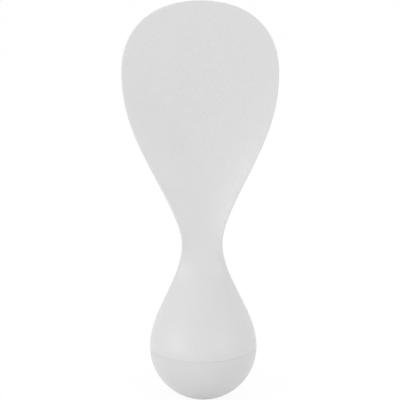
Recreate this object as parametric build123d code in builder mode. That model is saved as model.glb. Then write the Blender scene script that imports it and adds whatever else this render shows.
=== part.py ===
from build123d import *
from math import atan, cos, pi, sin, sqrt, tan
import os

# A rice paddle that stands up by itself: a broad dished blade on a narrow neck, which swells into a
# ball. The lower half of the ball is a closed bowl, and a steel weight inside it keeps the paddle
# upright. +Z is up, the paddle stands on Z = 0, and the hollow side of the blade looks towards -Y.
# All lengths are in millimetres.

# Overall form
overall_height = 186.9
blade_width = 72.0
ball_diameter = 50.0
foot_diameter = 14.4
waist_width = 18.8
waist_depth = 9.6
waist_height = 75.1
widest_height = 153.4

# Blade
floor_thickness = 2.4
rim_front_round = 0.6
rim_back_round = 1.2
neck_front_round = 0.7
neck_back_round = 1.8
dish_depth = 5.6
dish_below_waist = 8.0
rim_set_back = 5.0
crown_fade_height = 20.0
crown_end_below_waist = 2.0

# Shells of the ball
wall = 2.4
foot_floor = 3.0
foot_round = 0.6
seam_round = 0.25
seam_lip = 0.1
core_tip_diameter = 7.0
core_tip_below_waist = 8.0

# Mouth of the body and the cap's spigot, which snaps into it
mouth_wall = 2.6
mouth_ledge = 1.6
mouth_chamfer = 0.4
spigot_height = 6.0
spigot_wall = 2.8
spigot_chamfer = 0.5
fit_clearance = 0.1
end_clearance = 0.6
snap_height = 4.4
snap_proud = 0.35
snap_half_width = 0.7

# Sealing ring in its groove round the spigot
ring_groove_height = 1.0
ring_groove_width = 1.6
ring_groove_depth = 1.0
ring_seat_gap = 0.02

# Steel weight on the floor of the cap, with its boss below and its screw above
weight_gap = 0.4
weight_below_seam = 4.0
weight_chamfer = 0.8
boss_diameter = 7.6
boss_height = 7.0
boss_gap = 0.3
web_thickness = 5.0
screw_diameter = 3.0
screw_hole_gap = 0.2
screw_grip = 6.0
screw_point = 1.0
pilot_gap = 0.05
pilot_extra = 0.8
head_diameter = 5.8
head_height = 2.1
head_round = 0.6
recess_width = 0.9
recess_length = 3.4
recess_depth = 1.2
washer_diameter = 8.0
washer_thickness = 0.8
counterbore_gap = 0.5

# A cut runs this far past the face that it opens
overrun = 1.0

# Shares that shape the outline and the blade's section
neck_share = 0.96
shoulder_share = 0.815
top_squareness_share = 2.25
rim_turn_share = 0.25
tongue_share = 0.5
tongue_turn_share = 0.7
seam_flatness_share = 0.9995
dish_place_share = 0.75
stem_shares = [-0.25, -0.125, 0, 0.125, 0.25, 0.375, 0.5, 0.625, 0.75, 0.875, 1]
blade_shares = [0.08, 0.16, 0.25, 0.375, 0.5, 0.625, 0.75, 0.875, 1]
top_turn_shares = [0.17, 0.33, 0.49, 0.62, 0.73, 0.82, 0.885, 0.93, 0.96]
core_shares = [0.32, 0.46, 0.6, 0.72]

# Sizes that follow from those above
ball_radius = ball_diameter / 2
foot_radius = foot_diameter / 2
blade_half = blade_width / 2
waist_half = waist_width / 2
waist_half_depth = waist_depth / 2
tip_round = (rim_front_round + rim_back_round) / 2
seam_height = sqrt(ball_radius**2 - foot_radius**2)
top_rise = overall_height - widest_height
mouth_radius = ball_radius - mouth_wall
mouth_top = seam_height + spigot_height + end_clearance
spigot_radius = mouth_radius - fit_clearance
spigot_top = seam_height + spigot_height
spigot_inner = spigot_radius - spigot_wall
bowl_inner = ball_radius - wall

# In a round section the front and back arcs end an eighth of a turn from level. The rise of such an
# arc over its half span is the tangent of half that angle.
round_slope = tan(pi / 8)


def ease(share):
    """Rises smoothly from 0 to 1 as the share goes from 0 to 1, level at both ends."""
    return (1 - cos(pi * min(max(share, 0), 1))) / 2


def section(height, half_width, front_round, back_round, rim_y, front_bulge, back_bulge):
    """A level cut of the body: front arc, two arcs round the right rim, back arc and two round the left rim.

    Each arc is tangent to the next. The bulges are how far the front and back stand out beyond the
    rounds of the rim; a hollow front has a negative one."""
    front_span = half_width - front_round
    back_span = half_width - back_round
    front_turn = 2 * atan(front_bulge / front_span)
    back_turn = 2 * atan(back_bulge / back_span)
    front_x = front_span + front_round * sin(front_turn)
    back_x = back_span + back_round * sin(back_turn)
    front_end_y = rim_y - front_round * cos(front_turn)
    back_end_y = rim_y + back_round * cos(back_turn)
    front_y = rim_y - front_round - front_bulge
    back_y = rim_y + back_round + back_bulge
    with BuildLine(Plane.XY.offset(height)) as cut:
        ThreePointArc((-front_x, front_end_y), (0, front_y), (front_x, front_end_y))
        RadiusArc((front_x, front_end_y), (half_width, rim_y), -front_round)
        RadiusArc((half_width, rim_y), (back_x, back_end_y), -back_round)
        ThreePointArc((back_x, back_end_y), (0, back_y), (-back_x, back_end_y))
        RadiusArc((-back_x, back_end_y), (-half_width, rim_y), -back_round)
        RadiusArc((-half_width, rim_y), (-front_x, front_end_y), -front_round)
    return make_face(cut.edges())


def hollow(height):
    """Depth of the blade's hollow, which starts a little below the waist and runs out at the tip."""
    start = waist_height - dish_below_waist
    place = max((height - start) / (overall_height - start), 0) ** dish_place_share
    return dish_depth * ease(2 * min(place, 1 - place))


def stem_height(share):
    """Height of a level between the seam (0) and the waist (1)."""
    return seam_height + share * (waist_height - seam_height)


def stem_half_width(share):
    """Half width between the seam (0) and the waist (1); below the seam the ball draws in again."""
    return ball_radius + (waist_half - ball_radius) * ease(abs(share) ** neck_share)


def stem_half_depth(share):
    """Half depth between the seam (0) and the waist (1)."""
    seam_half_depth = seam_flatness_share * ball_radius
    return seam_half_depth + (waist_half_depth - seam_half_depth) * ease(abs(share) ** neck_share)


def stem_section(share):
    """The ball's upper half and the neck: round at the seam, flat in front and round behind at the waist."""
    height = stem_height(share)
    half_width = stem_half_width(share)
    half_depth = stem_half_depth(share)
    crown_start = waist_height - crown_end_below_waist - crown_fade_height
    flat = ease((height - crown_start) / crown_fade_height)
    round_end = (half_depth - round_slope * half_width) / (1 - round_slope)
    front_round = round_end + (neck_front_round - round_end) * flat
    # Two arcs of exactly one circle would merge, and the loft needs as many edges in each section.
    back_round = seam_flatness_share * round_end + (neck_back_round - round_end) * flat
    rim_y = (neck_front_round - waist_half_depth) * flat
    front_bulge = half_depth + rim_y - front_round - hollow(height)
    back_bulge = half_depth - rim_y - back_round
    return section(height, half_width, front_round, back_round, rim_y, front_bulge, back_bulge)


def blade_section(height, half_width):
    """The blade: a dished strip with a rounded rim, which thickens into the neck at its back."""
    share = (height - waist_height) / (overall_height - waist_height)
    below_tip = min((overall_height - height) / tip_round, 1)
    rounding = sqrt(1 - (1 - below_tip) ** 2)
    neck = 1 - ease(share / rim_turn_share)
    front_round = rounding * (rim_front_round + (neck_front_round - rim_front_round) * neck)
    back_round = rounding * (rim_back_round + (neck_back_round - rim_back_round) * neck)
    tongue = waist_depth - hollow(waist_height) - floor_thickness
    tongue *= 1 - ease((share / tongue_share) ** tongue_turn_share)
    thickness = rounding * (floor_thickness + tongue)
    # The tip closes evenly about the middle of its thickness.
    rim_front = rim_set_back * ease(share) - waist_half_depth + (1 - rounding) * floor_thickness / 2
    rim_y = rim_front + front_round
    back_bulge = hollow(height) + thickness - front_round - back_round
    return section(height, half_width, front_round, back_round, rim_y, -hollow(height), back_bulge)


def blade_half_width(share):
    """Half width between the waist (0) and the widest level (1)."""
    return waist_half + (blade_half - waist_half) * ease(share**shoulder_share)


# The loft starts below the seam and is trimmed there, so that the ball is even all the way down.
body_sections = [stem_section(share) for share in stem_shares]
for share in blade_shares:
    height = waist_height + share * (widest_height - waist_height)
    body_sections += [blade_section(height, blade_half_width(share))]
for turn in top_turn_shares:
    rise = sin(turn * pi / 2) ** (2 / top_squareness_share)
    reach = cos(turn * pi / 2) ** (2 / top_squareness_share)
    body_sections += [blade_section(widest_height + rise * top_rise, reach * blade_half)]

# The blade, the neck and the upper half of the ball are one moulding, hollow from the seam upwards.
core_outline = [(stem_half_depth(share) - wall, stem_height(share)) for share in core_shares]
core_top = waist_height - core_tip_below_waist
snap_level = seam_height + snap_height

with BuildPart() as paddle_body:
    loft([cut.face() for cut in body_sections])
    split(bisect_by=Plane.XY.offset(seam_height), keep=Keep.TOP)
    with BuildSketch(Plane.XZ) as hollow_profile:
        with BuildLine():
            Polyline(
                (0, seam_height - overrun),
                (mouth_radius + mouth_chamfer, seam_height - overrun),
                (mouth_radius + mouth_chamfer, seam_height),
                (mouth_radius, seam_height + mouth_chamfer),
                (mouth_radius, snap_level - snap_half_width - fit_clearance),
                (mouth_radius + snap_proud, snap_level),
                (mouth_radius, snap_level + snap_half_width + fit_clearance),
                (mouth_radius, mouth_top),
                (mouth_radius - mouth_ledge, mouth_top),
            )
            Spline((mouth_radius - mouth_ledge, mouth_top), *core_outline, (core_tip_diameter / 2, core_top))
            Polyline((core_tip_diameter / 2, core_top), (0, core_top), (0, seam_height - overrun))
        make_face()
    revolve(axis=Axis.Z, mode=Mode.SUBTRACT)
    with BuildSketch(Plane.XZ) as lip_profile:
        with BuildLine():
            Polyline(
                (ball_radius - seam_lip - overrun, seam_height - overrun),
                (ball_radius + overrun, seam_height - overrun),
                (ball_radius + overrun, seam_height + seam_lip + overrun),
                close=True,
            )
        make_face()
    revolve(axis=Axis.Z, mode=Mode.SUBTRACT)

# The base cap closes the ball: a bowl with a small flat foot, a spigot on top and a boss in the middle.
# Its outside is one round of the ball, with a small tangent round at the foot and at the seam.
foot_round_x = sqrt((ball_radius - foot_round) ** 2 - (seam_height - foot_round) ** 2)
foot_reach = ball_radius / (ball_radius - foot_round)
seam_round_x = sqrt((ball_radius - seam_round) ** 2 - seam_round**2)
seam_reach = ball_radius / (ball_radius - seam_round)
foot_end = (foot_reach * foot_round_x, seam_height - foot_reach * (seam_height - foot_round))
shoulder_start = (seam_reach * seam_round_x, seam_height - seam_reach * seam_round)
floor_half = sqrt(bowl_inner**2 - (seam_height - foot_floor) ** 2)
bowl_meets_spigot = seam_height - sqrt(bowl_inner**2 - spigot_inner**2)
boss_top = foot_floor + boss_height
pilot_bottom = boss_top - screw_grip - pilot_extra
groove_low = seam_height + ring_groove_height
groove_high = groove_low + ring_groove_width
groove_radius = spigot_radius - ring_groove_depth

with BuildPart() as base_cap:
    with BuildSketch(Plane.XZ) as cap_profile:
        with BuildLine():
            Line((0, 0), (foot_round_x, 0))
            RadiusArc((foot_round_x, 0), foot_end, -foot_round)
            RadiusArc(foot_end, shoulder_start, -ball_radius)
            RadiusArc(shoulder_start, (seam_round_x, seam_height), -seam_round)
            Polyline(
                (seam_round_x, seam_height),
                (spigot_radius, seam_height),
                (spigot_radius, groove_low),
                (groove_radius, groove_low),
                (groove_radius, groove_high),
                (spigot_radius, groove_high),
                (spigot_radius, snap_level - snap_half_width),
                (spigot_radius + snap_proud, snap_level),
                (spigot_radius, snap_level + snap_half_width),
                (spigot_radius, spigot_top - spigot_chamfer),
                (spigot_radius - spigot_chamfer, spigot_top),
                (spigot_inner, spigot_top),
                (spigot_inner, bowl_meets_spigot),
            )
            RadiusArc((spigot_inner, bowl_meets_spigot), (floor_half, foot_floor), bowl_inner)
            Polyline(
                (floor_half, foot_floor),
                (boss_diameter / 2, foot_floor),
                (boss_diameter / 2, boss_top),
                (screw_diameter / 2 + pilot_gap, boss_top),
                (screw_diameter / 2 + pilot_gap, pilot_bottom),
                (0, pilot_bottom),
                (0, 0),
            )
        make_face()
    revolve(axis=Axis.Z)

# The steel weight is turned to the inside of the bowl and stands on its flat floor, round the boss.
weight_curve = bowl_inner - weight_gap
weight_radius = spigot_inner - weight_gap
weight_top = seam_height - weight_below_seam
weight_foot = sqrt(weight_curve**2 - (seam_height - foot_floor) ** 2)
weight_shoulder = seam_height - sqrt(weight_curve**2 - weight_radius**2)
recess_radius = boss_diameter / 2 + boss_gap
web_low = boss_top + boss_gap
web_high = web_low + web_thickness
counterbore_radius = washer_diameter / 2 + counterbore_gap
screw_hole_radius = screw_diameter / 2 + screw_hole_gap

with BuildPart() as counterweight:
    with BuildSketch(Plane.XZ) as weight_profile:
        with BuildLine():
            Line((recess_radius, foot_floor), (weight_foot, foot_floor))
            RadiusArc((weight_foot, foot_floor), (weight_radius, weight_shoulder), -weight_curve)
            Polyline(
                (weight_radius, weight_shoulder),
                (weight_radius, weight_top - weight_chamfer),
                (weight_radius - weight_chamfer, weight_top),
                (counterbore_radius, weight_top),
                (counterbore_radius, web_high),
                (screw_hole_radius, web_high),
                (screw_hole_radius, web_low),
                (recess_radius, web_low),
                (recess_radius, foot_floor),
            )
        make_face()
    revolve(axis=Axis.Z)

# A plain washer and a pan head screw clamp the weight down on the floor of the cap.
head_low = web_high + washer_thickness
screw_tip = boss_top - screw_grip

with BuildPart() as weight_washer:
    with BuildSketch(Plane.XY.offset(web_high)):
        Circle(washer_diameter / 2)
        Circle(screw_hole_radius, mode=Mode.SUBTRACT)
    extrude(amount=washer_thickness)

with BuildPart() as weight_screw:
    with BuildSketch(Plane.XY.offset(head_low)):
        Circle(head_diameter / 2)
    extrude(amount=head_height)
    fillet(weight_screw.edges().sort_by(Axis.Z)[-1], head_round)
    with BuildSketch(Plane.XY.offset(head_low)):
        Circle(screw_diameter / 2)
    extrude(amount=screw_tip - head_low)
    chamfer(weight_screw.edges().sort_by(Axis.Z)[0], screw_point, screw_point / 2)
    with BuildSketch(Plane.XY.offset(head_low + head_height)):
        Rectangle(recess_length, recess_width)
        Rectangle(recess_width, recess_length)
    extrude(amount=-recess_depth, mode=Mode.SUBTRACT)

# A soft ring lies in the spigot's groove, pressed against the mouth of the body.
ring_half = (mouth_radius - groove_radius) / 2 - ring_seat_gap

with BuildPart() as seal_ring:
    with BuildSketch(Plane.XZ):
        with Locations(((mouth_radius + groove_radius) / 2, (groove_low + groove_high) / 2)):
            Circle(ring_half)
    revolve(axis=Axis.Z)

pieces = {
    "paddle_body": paddle_body,
    "base_cap": base_cap,
    "counterweight": counterweight,
    "weight_washer": weight_washer,
    "weight_screw": weight_screw,
    "seal_ring": seal_ring,
}
os.makedirs("parts", exist_ok=True)
for name, piece in pieces.items():
    piece.part.label = name
    export_step(piece.part, f"parts/{name}.step")
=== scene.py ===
# %% [markdown]
# # A rice paddle that stands up by itself
# The real object is two satin white mouldings: a wide dished blade that runs down a thin neck into
# the upper half of a ball, and a bowl that closes the ball from below. A steel weight in the bowl
# holds the paddle upright. The solids come from the frame at their real size, in metres, with the
# hollow side of the blade looking towards -Y. Blender gives them their finish, adds the fine raised
# dots of the blade, and sets up the studio.

# %% Load the frame
import bpy
from math import cos, pi, radians, sin, tau
from mathutils import Matrix, Quaternion, Vector


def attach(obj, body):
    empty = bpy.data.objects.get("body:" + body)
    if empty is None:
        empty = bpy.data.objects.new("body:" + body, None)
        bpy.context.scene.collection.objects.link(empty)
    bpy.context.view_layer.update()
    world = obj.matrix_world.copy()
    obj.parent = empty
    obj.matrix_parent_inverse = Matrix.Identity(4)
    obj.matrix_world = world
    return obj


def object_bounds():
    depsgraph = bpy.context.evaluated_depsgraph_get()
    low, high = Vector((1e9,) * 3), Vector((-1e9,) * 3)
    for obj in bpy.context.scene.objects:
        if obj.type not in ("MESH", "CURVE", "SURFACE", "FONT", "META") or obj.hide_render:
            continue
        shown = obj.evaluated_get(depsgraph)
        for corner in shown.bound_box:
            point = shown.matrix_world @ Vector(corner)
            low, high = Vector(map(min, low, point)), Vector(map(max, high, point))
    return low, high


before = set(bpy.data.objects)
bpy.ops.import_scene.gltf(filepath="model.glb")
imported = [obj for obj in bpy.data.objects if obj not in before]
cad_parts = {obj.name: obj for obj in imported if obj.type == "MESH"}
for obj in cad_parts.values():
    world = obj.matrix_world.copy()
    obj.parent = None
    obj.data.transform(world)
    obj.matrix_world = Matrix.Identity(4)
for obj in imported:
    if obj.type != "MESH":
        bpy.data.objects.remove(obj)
frame_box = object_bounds()
MM = 0.001
bpy.ops.object.select_all(action="DESELECT")
print("Pieces of the frame:", sorted(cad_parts))

# %% [markdown]
# ## The camera
# The photograph was taken with a long lens from a little above the table. Camera and lens were
# fitted to the outline of the paddle, so that the ball, the neck and the blade all fall where the
# photograph has them. The camera first aims at a point on the paddle's axis, half way up, and then
# turns a little, so that this point falls on the pixel where the photograph has it. The picture
# also leans by a fraction of a degree, which is a small roll of the camera, because the paddle
# itself stands upright.

# %% Camera
PHOTO_SIDE = 400
FOCAL_PIXELS = 2167
SENSOR_WIDTH = 36
AIM_HEIGHT = 98 * MM
AIM_PIXEL_X = 201.6
AIM_PIXEL_Y = 192.45
VIEW_DISTANCE = 1000 * MM
VIEW_ELEVATION = radians(13.2)
PICTURE_LEAN = radians(0.65)


def place_camera():
    """Puts the camera in front of the paddle, aims it, and turns it by the last small angles."""
    bpy.ops.object.camera_add()
    camera = bpy.context.object
    camera.data.sensor_width = SENSOR_WIDTH
    camera.data.lens = FOCAL_PIXELS / PHOTO_SIDE * SENSOR_WIDTH
    aim = Vector((0, 0, AIM_HEIGHT))
    back = Vector((0, -cos(VIEW_ELEVATION), sin(VIEW_ELEVATION)))
    camera.location = aim + back * VIEW_DISTANCE
    pitch = Quaternion((1, 0, 0), (AIM_PIXEL_Y - PHOTO_SIDE / 2) / FOCAL_PIXELS)
    yaw = Quaternion((0, 1, 0), (AIM_PIXEL_X - PHOTO_SIDE / 2) / FOCAL_PIXELS)
    lean = Quaternion((0, 0, 1), -PICTURE_LEAN)
    camera.rotation_mode = "QUATERNION"
    camera.rotation_quaternion = (-back).to_track_quat("-Z", "Y") @ pitch @ yaw @ lean
    bpy.context.scene.camera = camera
    print("Lens:", round(camera.data.lens, 1), "mm")


place_camera()

# %% [markdown]
# ## Helpers for materials
# A material here starts as a plain Principled shader with one colour and one roughness, and then
# patterns vary them. The patterns read Object coordinates, so they keep their real size in metres
# and stay on the piece when it is copied or exported. The values of a noise keep to the middle of
# its range, so a low and a high mark in that middle are spread to both ends of a roughness.

# %% Material helpers
PATTERN_LOW = 0.3
PATTERN_HIGH = 0.7
SOFT_DETAIL = 2
CLOUDY_DETAIL = 3
FINE_DETAIL = 4


def grey(level):
    """A neutral colour."""
    return (level, level, level)


def new_material(name, colour, roughness):
    """A plain Principled material, its node tree and its shader."""
    material = bpy.data.materials.new(name)
    material.use_nodes = True
    material.diffuse_color = (*colour, 1)
    tree = material.node_tree
    shader = tree.nodes["Principled BSDF"]
    shader.inputs["Base Color"].default_value = (*colour, 1)
    shader.inputs["Roughness"].default_value = roughness
    return material, tree, shader


def noise(tree, label, grain, detail=SOFT_DETAIL):
    """Noise whose grains are about that wide, in metres."""
    place = tree.nodes.new("ShaderNodeTexCoord")
    texture = tree.nodes.new("ShaderNodeTexNoise")
    texture.label = label
    texture.inputs["Scale"].default_value = 1 / grain
    texture.inputs["Detail"].default_value = detail
    tree.links.new(place.outputs["Object"], texture.inputs["Vector"])
    return texture.outputs["Fac"]


def vary_colour(tree, shader, pattern, other):
    """Mixes another colour into the plain one, by as much as the pattern says."""
    mix = tree.nodes.new("ShaderNodeMix")
    mix.data_type = "RGBA"
    mix.inputs["A"].default_value = shader.inputs["Base Color"].default_value
    mix.inputs["B"].default_value = (*other, 1)
    tree.links.new(pattern, mix.inputs["Factor"])
    tree.links.new(mix.outputs["Result"], shader.inputs["Base Color"])


def vary_roughness(tree, shader, pattern, swing):
    """Makes the roughness swing by that much to either side of its plain value."""
    plain = shader.inputs["Roughness"].default_value
    span = tree.nodes.new("ShaderNodeMapRange")
    span.inputs["From Min"].default_value = PATTERN_LOW
    span.inputs["From Max"].default_value = PATTERN_HIGH
    span.inputs["To Min"].default_value = plain - swing
    span.inputs["To Max"].default_value = plain + swing
    tree.links.new(pattern, span.inputs["Value"])
    tree.links.new(span.outputs["Result"], shader.inputs["Roughness"])


def roughen(tree, shader, pattern, depth, strength):
    """A bump of that depth, in metres, at a share of its full strength."""
    bump = tree.nodes.new("ShaderNodeBump")
    bump.inputs["Distance"].default_value = depth
    bump.inputs["Strength"].default_value = strength
    tree.links.new(pattern, bump.inputs["Height"])
    tree.links.new(bump.outputs["Normal"], shader.inputs["Normal"])


# %% [markdown]
# ## Moulded white plastic
# Both mouldings are polypropylene from a mould with a fine spark-eroded skin. It has a soft shine
# and no colour of its own. What keeps it from looking like paint is small: the white drifts by a
# hair over a few centimetres, the skin is a little rougher in places, and its grain is about a
# tenth of a millimetre. The cap comes from another mould, so its drift and grain differ. Its white
# is a touch darker, and that is painted shade: the underside of the ball gets less light from
# below.
# Light goes about a millimetre into the plastic and comes out again, in all colours alike, which
# softens the seam and the rim of the blade. The dots of the blade are too low for that, and their
# copy of the finish leaves it out.

# %% White plastic
BODY_MOULD = {"white": 0.728, "roughness": 0.39, "drift": 40 * MM, "grain": 0.12 * MM}
# The cap's white is a touch darker than the body's, as painted shade for the underside of the ball.
CAP_MOULD_WITH_PAINTED_SHADE = {"white": 0.706, "roughness": 0.37, "drift": 30 * MM, "grain": 0.15 * MM}
DRIFT_SHARE = 0.982
GLOSS_SWING = 0.04
GLOSS_PATCHES = 6  # side by side across one drift of the white
GRAIN_FLATNESS = 10  # how many times wider than deep a grain is
GRAIN_STRENGTH = 0.5
PLASTIC_IOR = 1.49
LIGHT_DEPTH = 0.55
LIGHT_REACH = 0.7 * MM
SAME_FOR_ALL_COLOURS = (1, 1, 1)


def moulded_plastic(name, light_depth, white, roughness, drift, grain):
    """Satin plastic with a slow drift of its white, a fine grain and some depth to light."""
    material, tree, shader = new_material(name, grey(white), roughness)
    vary_colour(tree, shader, noise(tree, "Drift", drift), grey(white * DRIFT_SHARE))
    vary_roughness(tree, shader, noise(tree, "Gloss", drift / GLOSS_PATCHES), GLOSS_SWING)
    skin = noise(tree, "Grain", grain, FINE_DETAIL)
    roughen(tree, shader, skin, grain / GRAIN_FLATNESS, GRAIN_STRENGTH)
    shader.inputs["IOR"].default_value = PLASTIC_IOR
    shader.inputs["Subsurface Weight"].default_value = light_depth
    shader.inputs["Subsurface Radius"].default_value = SAME_FOR_ALL_COLOURS
    shader.inputs["Subsurface Scale"].default_value = LIGHT_REACH
    return material


blade_white = moulded_plastic("blade_white", LIGHT_DEPTH, **BODY_MOULD)
# The cap's material has its white darkened as painted shade.
cap_white_with_painted_shade = moulded_plastic("cap_white_with_painted_shade", LIGHT_DEPTH, **CAP_MOULD_WITH_PAINTED_SHADE)
dot_white = moulded_plastic("dot_white", 0, **BODY_MOULD)
print("White of the body and of the cap:", BODY_MOULD["white"], CAP_MOULD_WITH_PAINTED_SHADE["white"])

# %% [markdown]
# ## Steel and rubber inside the ball
# The weight is turned on a lathe, which leaves fine rings round its axis. A wave texture in rings
# round Z follows them, both as a faint bump and as a change of roughness. The screw and washer are
# zinc plated, which is smoother and a little blue. The sealing ring is soft black rubber.

# %% Turned steel
STEEL = (0.56, 0.57, 0.58)
STEEL_STAINED = grey(0.5)
STAIN_WIDTH = 12 * MM
STEEL_ROUGHNESS = 0.35
STEEL_SWING = 0.07
RING_PITCH = 0.3 * MM
RING_WAVER = 0.4
RING_FLATNESS = 20  # how many times wider than deep a ring is
RING_STRENGTH = 0.6
WAVE_RADIANS = 20  # how far Blender's wave texture turns over one metre at scale 1


def turned_steel(name):
    """Steel with the fine rings that a lathe leaves round the axis."""
    material, tree, shader = new_material(name, STEEL, STEEL_ROUGHNESS)
    place = tree.nodes.new("ShaderNodeTexCoord")
    wave = tree.nodes.new("ShaderNodeTexWave")
    wave.wave_type = "RINGS"
    wave.rings_direction = "Z"
    wave.inputs["Scale"].default_value = tau / (RING_PITCH * WAVE_RADIANS)
    wave.inputs["Distortion"].default_value = RING_WAVER
    tree.links.new(place.outputs["Object"], wave.inputs["Vector"])
    rings = wave.outputs["Fac"]
    vary_roughness(tree, shader, rings, STEEL_SWING)
    roughen(tree, shader, rings, RING_PITCH / RING_FLATNESS, RING_STRENGTH)
    vary_colour(tree, shader, noise(tree, "Stain", STAIN_WIDTH), STEEL_STAINED)
    shader.inputs["Metallic"].default_value = 1
    return material


# %% Zinc plate
ZINC = (0.66, 0.67, 0.69)
ZINC_SHADED = (0.58, 0.6, 0.63)
SPANGLE_WIDTH = 1.5 * MM
ZINC_ROUGHNESS = 0.29
ZINC_SWING = 0.07


def plated_zinc(name):
    """Bright zinc plate with faint cloudy spangles."""
    material, tree, shader = new_material(name, ZINC, ZINC_ROUGHNESS)
    cloud = noise(tree, "Spangle", SPANGLE_WIDTH, CLOUDY_DETAIL)
    vary_colour(tree, shader, cloud, ZINC_SHADED)
    vary_roughness(tree, shader, cloud, ZINC_SWING)
    shader.inputs["Metallic"].default_value = 1
    return material


# %% Soft rubber
RUBBER = grey(0.025)
RUBBER_BLOOM = grey(0.05)
BLOOM_WIDTH = 2 * MM
RUBBER_ROUGHNESS = 0.7
RUBBER_GRAIN = 0.1 * MM
RUBBER_GRAIN_DEPTH = 0.01 * MM
RUBBER_GRAIN_STRENGTH = 0.6


def soft_rubber(name):
    """Matte black rubber with a dusty bloom."""
    material, tree, shader = new_material(name, RUBBER, RUBBER_ROUGHNESS)
    vary_colour(tree, shader, noise(tree, "Bloom", BLOOM_WIDTH, CLOUDY_DETAIL), RUBBER_BLOOM)
    skin = noise(tree, "Grain", RUBBER_GRAIN)
    roughen(tree, shader, skin, RUBBER_GRAIN_DEPTH, RUBBER_GRAIN_STRENGTH)
    return material


# %% [markdown]
# ## Dressing the solids
# The solids from the frame have the right shape already, so each one stays and only takes its
# material. A node may come with a plain material of its own, which is cleared first.

# %% Finishes on the nodes
steel = turned_steel("turned_steel")
zinc = plated_zinc("plated_zinc")
rubber = soft_rubber("soft_rubber")
FINISHES = {
    "paddle_body": blade_white,
    "base_cap": cap_white_with_painted_shade,
    "counterweight": steel,
    "weight_washer": zinc,
    "weight_screw": zinc,
    "seal_ring": rubber,
}
for node_name, finish in FINISHES.items():
    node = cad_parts[node_name]
    node.data.materials.clear()
    node.data.materials.append(finish)
    print(node_name, "is", finish.name)

# %% [markdown]
# ## One raised dot
# Cooked rice sticks to a flat blade, so the hollow is strewn with low raised dots that keep the
# grains off it. On the real blade they are part of the moulding: little domes nearly a millimetre
# wide and less than a tenth high. A bump texture would not change the outline of the surface, so
# they are real geometry. One dome is made from a circle, raised and narrowed twice by extrusion,
# with a point raised in the middle, so that it has only about thirty faces. Its foot is wider than
# what shows, because it is sunk into the blade, so that no gap is left where the blade curves.

# %% Dot
DOT_RADIUS = 0.75 * MM
DOT_HEIGHT = 0.06 * MM
DOT_SUNK = 0.04 * MM
DOT_SIDES = 10
RING_SHARES = [1.0, 0.72, 0.4]


def dome_height(share):
    """Height of the dome above its foot at a share of its radius, as on a soft round mound."""
    return (DOT_HEIGHT + DOT_SUNK) * (1 + cos(pi * share)) / 2


def make_dot():
    """A low dome on the origin, with its top towards +Z."""
    bpy.ops.mesh.primitive_circle_add(vertices=DOT_SIDES, radius=DOT_RADIUS, fill_type="NGON",
                                      location=(0, 0, -DOT_SUNK))
    dot = bpy.context.object
    dot.name = "dot"
    bpy.ops.object.transform_apply(location=True)
    bpy.ops.object.mode_set(mode="EDIT")
    bpy.ops.mesh.select_all(action="SELECT")
    for outer, inner in zip(RING_SHARES, RING_SHARES[1:]):
        rise = dome_height(inner) - dome_height(outer)
        bpy.ops.mesh.extrude_region_move(TRANSFORM_OT_translate={"value": (0, 0, rise)})
        bpy.ops.transform.resize(value=(inner / outer, inner / outer, 1))
    bpy.ops.mesh.poke(offset=dome_height(0) - dome_height(RING_SHARES[-1]))
    bpy.ops.mesh.select_all(action="SELECT")
    bpy.ops.mesh.normals_make_consistent(inside=False)
    bpy.ops.object.mode_set(mode="OBJECT")
    bpy.ops.object.shade_smooth()
    print("Faces of one dot:", len(dot.data.polygons))
    return dot


dot = make_dot()

# %% [markdown]
# ## The field of dots
# The photograph shows them faintly, in rows that are staggered like bricks. A ray towards the blade
# at each place of that pattern gives the point on the surface and the way it faces there. A place
# counts only if the blade is also there a few millimetres away all round, which leaves the smooth
# margin along the rim. Towards the neck the field ends in a shallow curve.

# %% Field of dots
DOT_PITCH = 3.6 * MM
ROW_PITCH = 1.8 * MM
RIM_MARGIN = 5 * MM
FIELD_LOW = 108 * MM
FIELD_ROUND = 45 * MM
MARGIN_LOOKS = 8
WELL_IN_FRONT = 2 * frame_box[0].y


def blade_front(x, z):
    """The point of the blade's front straight behind (x, z) and the way that it faces, or None."""
    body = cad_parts["paddle_body"]
    start = Vector((x, WELL_IN_FRONT, z))
    found, point, normal, _ = body.ray_cast(start, Vector((0, 1, 0)))
    return (point, normal) if found else None


def is_inside(x, z):
    """Whether the blade is also there all round, a margin away."""
    looks = [look * tau / MARGIN_LOOKS for look in range(MARGIN_LOOKS)]
    return all(blade_front(x + RIM_MARGIN * cos(a), z + RIM_MARGIN * sin(a)) for a in looks)


def dot_places():
    """Every staggered place on the blade that lies inside the margin."""
    half_width = frame_box[1].x
    columns = int(half_width / DOT_PITCH) + 1
    rows = int((frame_box[1].z - FIELD_LOW) / ROW_PITCH)
    for row in range(rows):
        z = FIELD_LOW + row * ROW_PITCH
        stagger = row % 2 * DOT_PITCH / 2
        for column in range(-columns, columns + 1):
            x = column * DOT_PITCH + stagger
            if z > FIELD_LOW + x ** 2 / FIELD_ROUND and is_inside(x, z):
                yield blade_front(x, z)


def make_dots(dot):
    """Copies the dot to every place, turned the way that the blade faces, and joins the copies."""
    bpy.ops.object.select_all(action="DESELECT")
    for point, normal in dot_places():
        copy = dot.copy()
        copy.data = dot.data.copy()
        turn = normal.to_track_quat("Z", "Y").to_matrix().to_4x4()
        copy.matrix_world = Matrix.Translation(point) @ turn
        bpy.context.collection.objects.link(copy)
        copy.select_set(True)
    copies = bpy.context.selected_objects
    bpy.context.view_layer.objects.active = copies[0]
    bpy.ops.object.join()
    dots = bpy.context.object
    dots.name = "blade_dots"
    bpy.ops.object.transform_apply(location=True, rotation=True, scale=True)
    bpy.data.objects.remove(dot)
    print("Dots:", len(copies), "with", len(dots.data.polygons), "faces")
    return dots


dots = make_dots(dot)
dots.data.materials.append(dot_white)
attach(dots, "root")

# %% [markdown]
# ## The floor and the room
# The photograph is a cut-out on pure white, with hardly a trace of a shadow. The floor is white
# and lit like the object, but the camera sees most of it as plain white light, so that only a soft
# part of the shadow stays. The room does the same: it lights the object evenly, and shows as white
# to the camera and in reflections.

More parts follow.
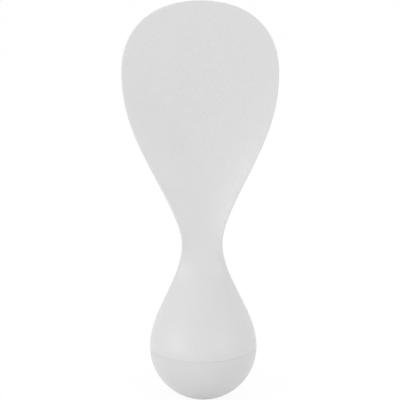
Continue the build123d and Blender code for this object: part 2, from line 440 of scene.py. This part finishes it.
# %% Seen directly or not
def seen_directly(tree):
    """1 for rays from the camera, from a mirror or through glass, and 0 for light on its way."""
    path = tree.nodes.new("ShaderNodeLightPath")
    total = path.outputs["Is Camera Ray"]
    for kind in ("Is Glossy Ray", "Is Transmission Ray"):
        add = tree.nodes.new("ShaderNodeMath")
        add.operation = "MAXIMUM"
        tree.links.new(total, add.inputs[0])
        tree.links.new(path.outputs[kind], add.inputs[1])
        total = add.outputs["Value"]
    return total


# %% Floor
FLOOR_SIDE = 6.0
FLOOR_WHITE = grey(0.92)
FLOOR_ROUGHNESS = 0.9
FLOOR_GLOW = 1.03
SHADOW_KEPT = 0.12


def make_floor():
    """A white floor that keeps a soft part of the shadow."""
    bpy.ops.mesh.primitive_plane_add(size=FLOOR_SIDE)
    floor = bpy.context.object
    floor.name = "floor"
    material, tree, shader = new_material("floor_white", FLOOR_WHITE, FLOOR_ROUGHNESS)
    shader.inputs["Specular IOR Level"].default_value = 0
    glow = tree.nodes.new("ShaderNodeEmission")
    glow.inputs["Strength"].default_value = FLOOR_GLOW
    share = tree.nodes.new("ShaderNodeMath")
    share.operation = "MULTIPLY"
    share.inputs[1].default_value = 1 - SHADOW_KEPT
    tree.links.new(seen_directly(tree), share.inputs[0])
    mix = tree.nodes.new("ShaderNodeMixShader")
    tree.links.new(share.outputs["Value"], mix.inputs["Fac"])
    tree.links.new(shader.outputs["BSDF"], mix.inputs[1])
    tree.links.new(glow.outputs["Emission"], mix.inputs[2])
    tree.links.new(mix.outputs["Shader"], tree.nodes["Material Output"].inputs["Surface"])
    floor.data.materials.append(material)
    print("Floor:", FLOOR_SIDE, "m wide")


make_floor()

# %% Room
ROOM_LIGHT = 0.8
ROOM_SEEN = 1


def make_room():
    """An even white room, a little less bright as a light than it looks."""
    world = bpy.data.worlds.new("room")
    world.use_nodes = True
    tree = world.node_tree
    light = tree.nodes["Background"]
    light.inputs["Color"].default_value = (1, 1, 1, 1)
    strength = tree.nodes.new("ShaderNodeMix")
    strength.inputs["A"].default_value = ROOM_LIGHT
    strength.inputs["B"].default_value = ROOM_SEEN
    tree.links.new(seen_directly(tree), strength.inputs["Factor"])
    tree.links.new(strength.outputs["Result"], light.inputs["Strength"])
    bpy.context.scene.world = world
    print("Room:", world.name)


make_room()

# %% [markdown]
# ## The lights
# The left of the ball and the right flank of the hollow are a little brighter than the rest, and no
# side is in shadow. So two soft lamps stand low in front of the paddle, one on each side, and the
# left one is the stronger and further round. Both are a metre wide, so that they leave no hard
# bright spot on the ball. The room fills the rest.

# %% Lights
LAMP_AIM = Vector((0, 0, 100 * MM))
LAMP_DISTANCE = 1300 * MM
LAMP_WIDTH = 1000 * MM
LAMP_HEIGHT = 500 * MM


def add_softbox(name, turn, rise, power):
    """A wide lamp that looks at the paddle, turned to the left and raised by degrees."""
    left = radians(turn)
    up = radians(rise)
    way = Vector((-sin(left) * cos(up), -cos(left) * cos(up), sin(up)))
    bpy.ops.object.light_add(type="AREA", location=LAMP_AIM + way * LAMP_DISTANCE)
    lamp = bpy.context.object
    lamp.name = name
    lamp.data.shape = "RECTANGLE"
    lamp.data.size = LAMP_WIDTH
    lamp.data.size_y = LAMP_HEIGHT
    lamp.data.energy = power
    lamp.rotation_mode = "QUATERNION"
    lamp.rotation_quaternion = (-way).to_track_quat("-Z", "Y")
    print(name, "has", power, "watts")


add_softbox("left_lamp", turn=60, rise=7, power=3.82)
add_softbox("right_lamp", turn=-45, rise=12, power=2.38)

# %% [markdown]
# ## Finish
# Colours are shown as they are written.

# %% Finish
bpy.context.scene.view_settings.view_transform = "Standard"
